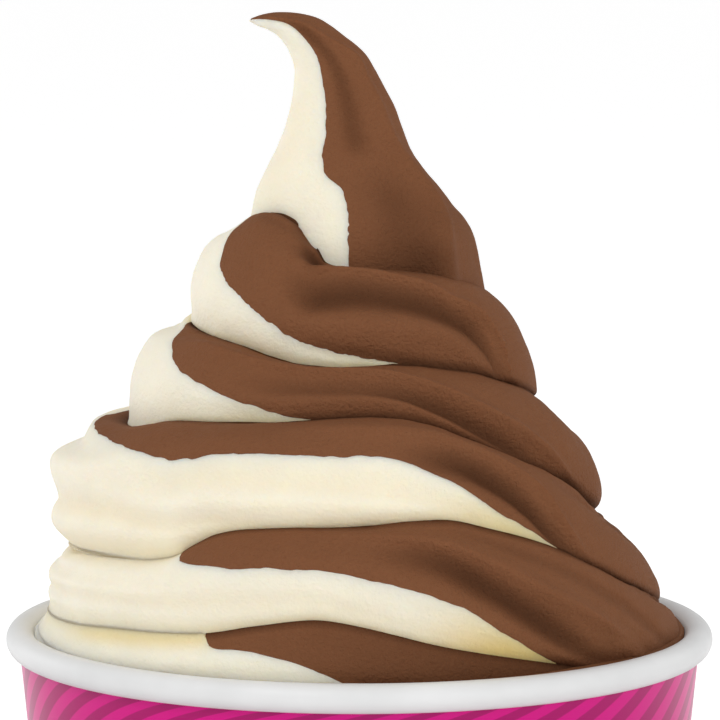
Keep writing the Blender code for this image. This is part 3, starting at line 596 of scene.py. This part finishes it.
# second colour of each: painted shade for creases, grooves, hollows and thin cream ends
brown = yogurt_mat('brown_yogurt', srgb(128, 84, 57), srgb(80, 50, 32), .65, .03, .1, (1.0, .5, .3), .0015, 2100, .00045)
pale = yogurt_mat('cream_yogurt', srgb(245, 237, 217), srgb(236, 207, 136), .6, .1, .6, (1.0, .8, .55), .003, 1700, .00022)
for ob in (choc, choc_up):
    ob.data.materials.append(brown)
for ob in (cream, cream_up):
    ob.data.materials.append(pale)

m, N, L, B = new_mat('white_paper')
tc = N.new('ShaderNodeTexCoord')
n1 = N.new('ShaderNodeTexNoise')
n1.inputs['Scale'].default_value = 90
n1.inputs['Detail'].default_value = 3
L.new(tc.outputs['Object'], n1.inputs['Vector'])
ramp_ = N.new('ShaderNodeMix')
ramp_.data_type = 'RGBA'
ramp_.inputs[6].default_value = srgb(213, 214, 214)
ramp_.inputs[7].default_value = srgb(238, 238, 238)
L.new(n1.outputs['Fac'], ramp_.inputs[0])
L.new(ramp_.outputs[2], B.inputs['Base Color'])
B.inputs['Roughness'].default_value = .42
B.inputs['Specular IOR Level'].default_value = .3
rim.data.materials.append(m)
foot.data.materials.append(m)

# printed wall: darker bands that sweep out from under the rim and run on down the cup
m, N, L, B = new_mat('printed_paper')


def math_node(op, a, b=None):
    n = N.new('ShaderNodeMath')
    n.operation = op
    for i, x in enumerate((a, b)):
        if x is None:
            continue
        if isinstance(x, (int, float)):
            n.inputs[i].default_value = x
        else:
            L.new(x, n.inputs[i])
    return n.outputs[0]


tc = N.new('ShaderNodeTexCoord')
sep = N.new('ShaderNodeSeparateXYZ')
L.new(tc.outputs['Object'], sep.inputs[0])
ang = math_node('ARCTAN2', sep.outputs['X'], math_node('MULTIPLY', sep.outputs['Y'], -1.0))   # 0 at the front, + to +X
down = math_node('SUBTRACT', CUP_H * MM - .0040, sep.outputs['Z'])                              # below the roll
off = math_node('DIVIDE', math_node('ADD', ang, radians(8)), radians(45))
sweep = math_node('MULTIPLY', math_node('EXPONENT', math_node('MULTIPLY', math_node('MULTIPLY', off, off), -1.0)), 3.2)
near_top = math_node('MULTIPLY', math_node('SUBTRACT', 1.0, math_node('EXPONENT', math_node('MULTIPLY', down, -1 / .0065))), .0065)
shift = math_node('DIVIDE', math_node('ADD', math_node('MULTIPLY', down, 1.1), math_node('MULTIPLY', sweep, near_top)), .047)
turns = math_node('MULTIPLY', math_node('ADD', ang, shift), 42 / (2 * pi))
tri = math_node('ABSOLUTE', math_node('SUBTRACT', math_node('FRACT', math_node('ADD', turns, BAND_AT)), .5))
band = N.new('ShaderNodeMapRange')
band.interpolation_type = 'SMOOTHSTEP'
band.inputs['From Min'].default_value = .21
band.inputs['From Max'].default_value = .28
L.new(tri, band.inputs['Value'])
pm = N.new('ShaderNodeMix')
pm.data_type = 'RGBA'
pm.inputs[6].default_value = srgb(171, 8, 103)
pm.inputs[7].default_value = srgb(212, 8, 131)
L.new(band.outputs['Result'], pm.inputs[0])
L.new(pm.outputs[2], B.inputs['Base Color'])
B.inputs['Roughness'].default_value = .3
B.inputs['Specular IOR Level'].default_value = .2
wall.data.materials.append(m)

for ob, node, slot_ in ((choc, 'yogurt_chocolate', 'yogurt_chocolate'), (cream, 'yogurt_vanilla', 'yogurt_vanilla'),
                        (choc_up, 'yogurt_chocolate', 'yogurt_chocolate'), (cream_up, 'yogurt_vanilla', 'yogurt_vanilla'),
                        (wall, 'paper_cup', 'paper_cup'), (rim, 'paper_cup', 'paper_cup'), (foot, 'paper_cup', 'paper_cup')):
    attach(ob, 'root')
    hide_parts(node)

# ---------------------------------------------------------------- floor, light, camera
SKY, FLOOR_GLOW, KEY, FILL, EDGE = .57, .50, 2.5, 1.2, 1.15
me = bpy.data.meshes.new('floor')
me.from_pydata([(-3, -3, 0), (3, -3, 0), (3, 5, 0), (-3, 5, 0)], [], [(0, 1, 2, 3)])
floor = bpy.data.objects.new('floor', me)
bpy.context.scene.collection.objects.link(floor)
m, N, L, B = new_mat('pale_floor')
B.inputs['Base Color'].default_value = (.86, .86, .86, 1)
B.inputs['Roughness'].default_value = .9
B.inputs['Specular IOR Level'].default_value = .1
B.inputs['Emission Color'].default_value = (1, 1, 1, 1)
# paler away from the cup, so that it reads as a white studio sweep
tc = N.new('ShaderNodeTexCoord')
far = N.new('ShaderNodeVectorMath')
far.operation = 'LENGTH'
L.new(tc.outputs['Object'], far.inputs[0])
mr = N.new('ShaderNodeMapRange')
mr.interpolation_type = 'SMOOTHSTEP'
mr.inputs['From Min'].default_value = .12
mr.inputs['From Max'].default_value = .27
mr.inputs['To Min'].default_value = 0
mr.inputs['To Max'].default_value = FLOOR_GLOW
L.new(far.outputs['Value'], mr.inputs['Value'])
L.new(mr.outputs['Result'], B.inputs['Emission Strength'])
me.materials.append(m)

sc = bpy.context.scene
sc.view_settings.view_transform = 'Standard'
w = bpy.data.worlds.new('studio')
sc.world = w
w.use_nodes = True
w.node_tree.nodes['Background'].inputs[0].default_value = (1, 1, 1, 1)
w.node_tree.nodes['Background'].inputs[1].default_value = SKY


def area(name, loc, target, size, power):
    l = bpy.data.lights.new(name, 'AREA')
    l.size = size
    l.energy = power
    o = bpy.data.objects.new(name, l)
    sc.collection.objects.link(o)
    o.location = loc
    o.rotation_euler = (Vector(target) - Vector(loc)).to_track_quat('-Z', 'Y').to_euler()
    return o


area('key', (-.36, -.62, .78), (0, 0, .1), .35, KEY)
area('fill', (.5, -.6, .34), (0, 0, .1), .5, FILL)
area('edge_left', (-.75, .45, .3), (0, 0, .08), .45, EDGE)
area('edge_right', (.75, .55, .3), (0, 0, .08), .45, .6 * EDGE)

ELEV, PITCH, FOCAL_PX, CX, DIST = radians(10.164), radians(7.039), 5034.5, 359.35, .700
cam = bpy.data.cameras.new('camera')
cam_ob = bpy.data.objects.new('camera', cam)
sc.collection.objects.link(cam_ob)
cam_ob.location = (0, -DIST * cos(ELEV), .068 + DIST * sin(ELEV))
cam_ob.rotation_euler = (pi / 2 - PITCH, 0, 0)
cam.sensor_width = 36
cam.lens = FOCAL_PX / 720 * 36
cam.shift_x = (360 - CX) / 720
cam.clip_start = .01
sc.camera = cam_ob
